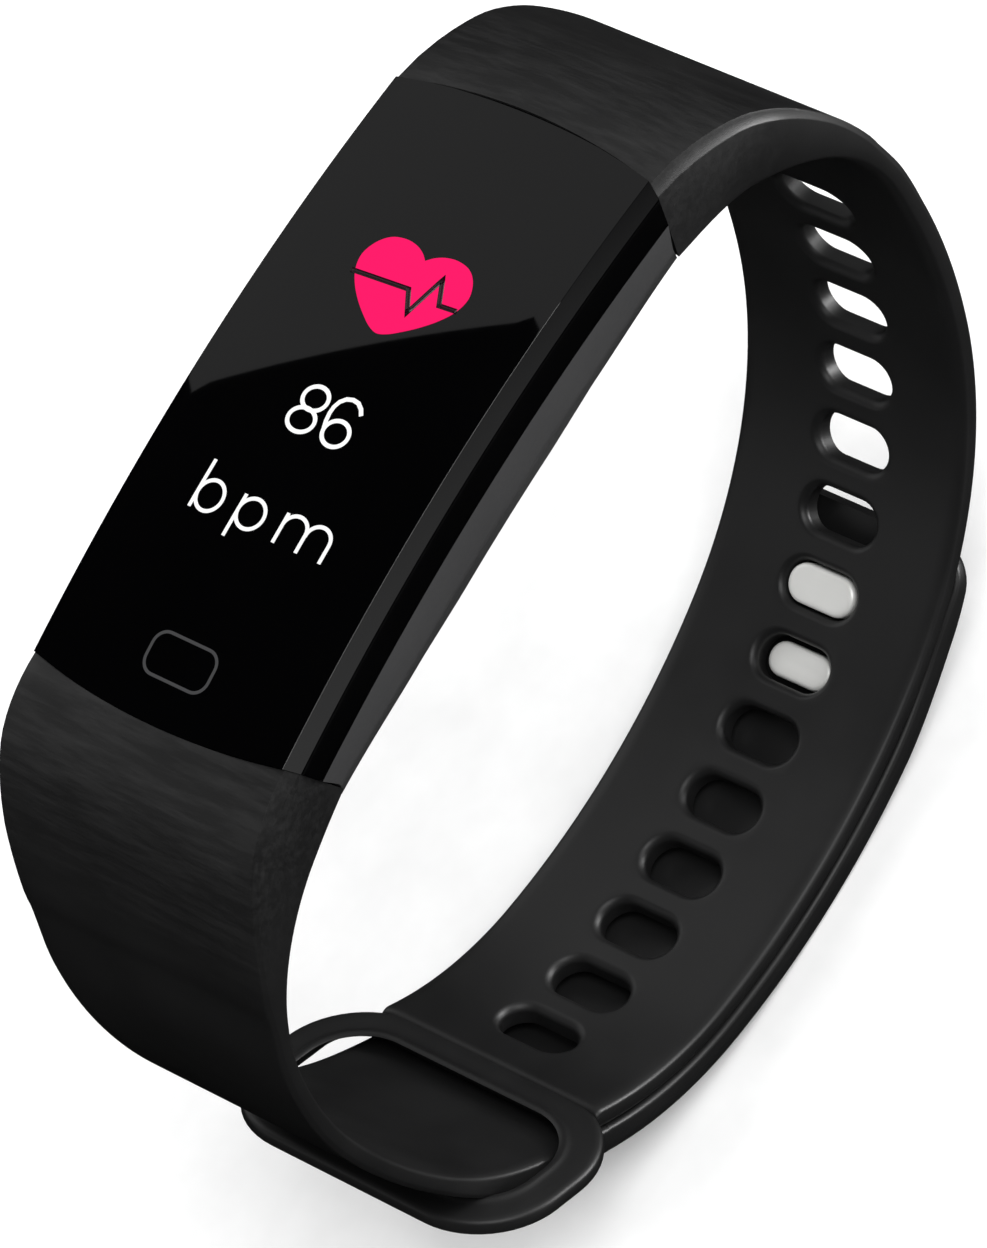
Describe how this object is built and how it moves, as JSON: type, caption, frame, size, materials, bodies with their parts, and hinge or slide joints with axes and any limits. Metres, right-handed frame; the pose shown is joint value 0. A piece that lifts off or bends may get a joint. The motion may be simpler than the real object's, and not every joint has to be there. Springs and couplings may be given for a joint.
{
  "type": "fitness tracker band",
  "caption": "Fitness tracker band: arched glass pod with a display in a silicone strap with oval holes, a ring and a peg clasp, closed round an empty wrist.",
  "frame": {"origin": "centre of the sensor window's outer face, on the side that lies on the wrist", "axes": "+X along the pod towards the strap with the holes, +Y across the band along the forearm, +Z out of the display"},
  "size_m": [0.0698, 0.0248, 0.0618],
  "materials": {
    "cover_glass": "gloss black-backed glass",
    "gasket_rubber": "matt",
    "frame_plastic": "gloss black",
    "case_plastic": "fine matt, dark grey",
    "sensor_plastic": "clear, dark tinted",
    "display_glass": "gloss",
    "backlight_plastic": "white diffuser",
    "tray_steel": "satin",
    "flex_film": "amber polyimide film",
    "touch_copper": "copper foil",
    "board_laminate": "green solder mask",
    "chip_epoxy": "matt black epoxy",
    "antenna_ceramic": "ceramic",
    "screw_steel": "bright",
    "cell_foil": "satin foil",
    "lead_red": "satin",
    "motor_steel": "satin",
    "rotor_metal": "sintered heavy metal",
    "led_lens": "clear green",
    "diode_chip": "gloss",
    "contact_gold": "gold plated",
    "socket_plastic": "fine matt",
    "silicone": "soft matt black",
    "peg_steel": "satin, silver-white"
  },
  "bodies": {
    "band": {"front_lens": "cover_glass", "lens_gasket": "gasket_rubber", "mid_frame": "frame_plastic", "rear_case": "case_plastic", "sensor_window": "sensor_plastic", "display_panel": "display_glass", "backlight_unit": "backlight_plastic", "display_tray": "tray_steel", "display_flex": "flex_film", "touch_pad": "touch_copper", "main_board": "board_laminate", "processor_chip": "chip_epoxy", "memory_chip": "chip_epoxy", "motion_chip": "chip_epoxy", "power_chip": "chip_epoxy", "radio_antenna": "antenna_ceramic", "board_screws": "screw_steel", "battery_cell": "cell_foil", "battery_leads": "lead_red", "motor_can": "motor_steel", "sensor_board": "board_laminate", "sensor_flex": "flex_film", "pulse_leds": "led_lens", "photodiode": "diode_chip", "light_baffle": "gasket_rubber", "charge_contacts": "contact_gold", "upper_shoulder": "silicone", "hole_strap": "silicone", "lower_shoulder": "silicone", "lower_strap": "silicone", "tail_flex": "silicone"},
    "upper_end": {"upper_socket": "socket_plastic", "upper_strap_end": "silicone"},
    "lower_end": {"lower_socket": "socket_plastic", "lower_strap_end": "silicone"},
    "clasp": {"clasp_tail": "silicone", "clasp_pegs": "peg_steel"},
    "motor_mass": {"motor_rotor": "rotor_metal"}
  },
  "joints": [
    {"name": "upper_strap_pull", "type": "slide", "parent": "band", "child": "upper_end", "axis": [1, 0, 0], "range_m": [0, 0.006], "deforming": ["upper_shoulder"]},
    {"name": "lower_strap_pull", "type": "slide", "parent": "band", "child": "lower_end", "axis": [-1, 0, 0], "range_m": [0, 0.006], "deforming": ["lower_shoulder"]},
    {"name": "clasp_peel", "type": "hinge", "parent": "band", "child": "clasp", "pos_m": [-0.00245, 0, -0.0505], "axis": [0, 1, 0], "range_deg": [0, 55], "stiffness_Nm_per_rad": 0.01, "springref_deg": -8.59, "deforming": ["tail_flex"]},
    {"name": "motor_spin", "type": "hinge", "parent": "band", "child": "motor_mass", "pos_m": [-0.0121, -0.004, 0.00267], "axis": [0, 0, 1], "continuous": true}
  ]
}
